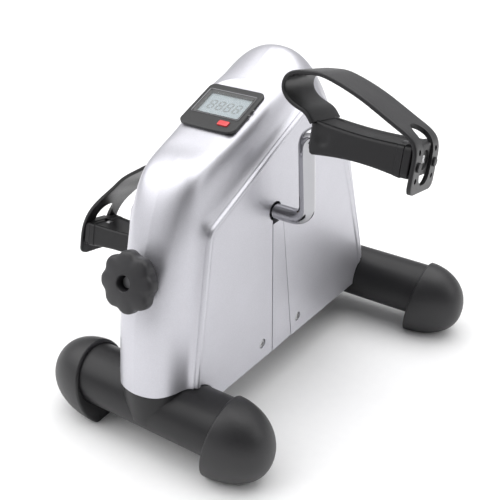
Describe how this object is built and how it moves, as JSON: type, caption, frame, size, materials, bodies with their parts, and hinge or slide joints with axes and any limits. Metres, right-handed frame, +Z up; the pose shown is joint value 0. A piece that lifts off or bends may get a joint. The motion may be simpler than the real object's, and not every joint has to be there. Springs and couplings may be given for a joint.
{
  "type": "mini pedal exerciser",
  "caption": "Tabletop or under-desk pedal exerciser with a silver housing, cranked pedals with foot straps, a tension knob, a small display and a two-tube floor stand.",
  "frame": {"origin": "centre of the bounding box on the floor", "axes": "+X across the machine towards the pedal that is up at rest, +Y from the knob towards the rear tube, +Z up"},
  "size_m": [0.323, 0.3246, 0.2936],
  "materials": {
    "silver": "painted silver, satin metallic",
    "black_steel": "black powder coat, satin",
    "black_plastic": "fine-grained black",
    "chrome": "polished",
    "rubber": "matt",
    "steel": "plain",
    "felt": "felt",
    "red_plastic": "gloss",
    "lcd": "grey-green display",
    "clear": "clear",
    "board": "green board",
    "bronze": "sintered bronze",
    "iron": "machined grey iron"
  },
  "bodies": {
    "frame": {"band_anchor_pin": "steel", "base_rail": "black_steel", "bearing_bush_left": "bronze", "bearing_bush_right": "bronze", "bearing_plate_left": "steel", "bearing_plate_right": "steel", "brake_band": "steel", "button_cell": "steel", "circuit_board": "board", "console_bezel": "black_plastic", "console_case": "black_plastic", "console_lens": "clear", "felt_lining": "felt", "foot_cap_front_left": "black_plastic", "foot_cap_front_right": "black_plastic", "foot_cap_rear_left": "black_plastic", "foot_cap_rear_right": "black_plastic", "front_tube": "black_steel", "housing_shell": "silver", "lcd_panel": "lcd", "plate_bolt_front": "steel", "plate_bolt_rear": "steel", "rear_tube": "black_steel", "reed_sensor": "black_plastic", "shell_screw_front_left": "steel", "shell_screw_front_right": "steel", "shell_screw_rear_left": "steel", "shell_screw_rear_right": "steel", "slot_cover_left": "silver", "slot_cover_right": "silver", "tension_guide": "steel"},
    "crank": {"crank": "chrome", "brake_drum": "iron", "drum_set_screw": "steel", "pickup_magnet": "steel", "spindle_clip_left": "steel", "spindle_clip_right": "steel"},
    "pedal_right": {"pedal_right": "black_plastic", "pedal_end_cap_right": "black_plastic", "strap_right": "rubber"},
    "pedal_left": {"pedal_left": "black_plastic", "pedal_end_cap_left": "black_plastic", "strap_left": "rubber"},
    "knob": {"tension_knob": "black_plastic", "tension_screw": "steel"},
    "tension_block": {"tension_block": "steel"},
    "reset_button": {"reset_button": "red_plastic"}
  },
  "joints": [
    {"name": "crank_spin", "type": "hinge", "parent": "frame", "child": "crank", "pos_m": [0, -0.02255, 0.1715], "axis": [1, 0, 0], "continuous": true},
    {"name": "pedal_right_spin", "type": "hinge", "parent": "crank", "child": "pedal_right", "pos_m": [0.115, -0.02935, 0.2464], "axis": [1, 0, 0], "continuous": true},
    {"name": "pedal_left_spin", "type": "hinge", "parent": "crank", "child": "pedal_left", "pos_m": [-0.115, -0.01575, 0.0966], "axis": [1, 0, 0], "continuous": true},
    {"name": "knob_turn", "type": "hinge", "parent": "frame", "child": "knob", "pos_m": [0, -0.15715, 0.1626], "axis": [0, -0.9472, 0.3206], "range_deg": [0, 1080]},
    {"name": "block_slide", "type": "slide", "parent": "frame", "child": "tension_block", "axis": [0, -0.9472, 0.3206], "range_m": [0, 0.0038]},
    {"name": "reset_press", "type": "slide", "parent": "frame", "child": "reset_button", "axis": [0, 0.3272, -0.9449], "range_m": [0, 0.0012], "stiffness_N_per_m": 200}
  ],
  "couplings": [
    {"joint": "block_slide", "follows": "knob_turn", "m_per_rad": 0.000199}
  ]
}
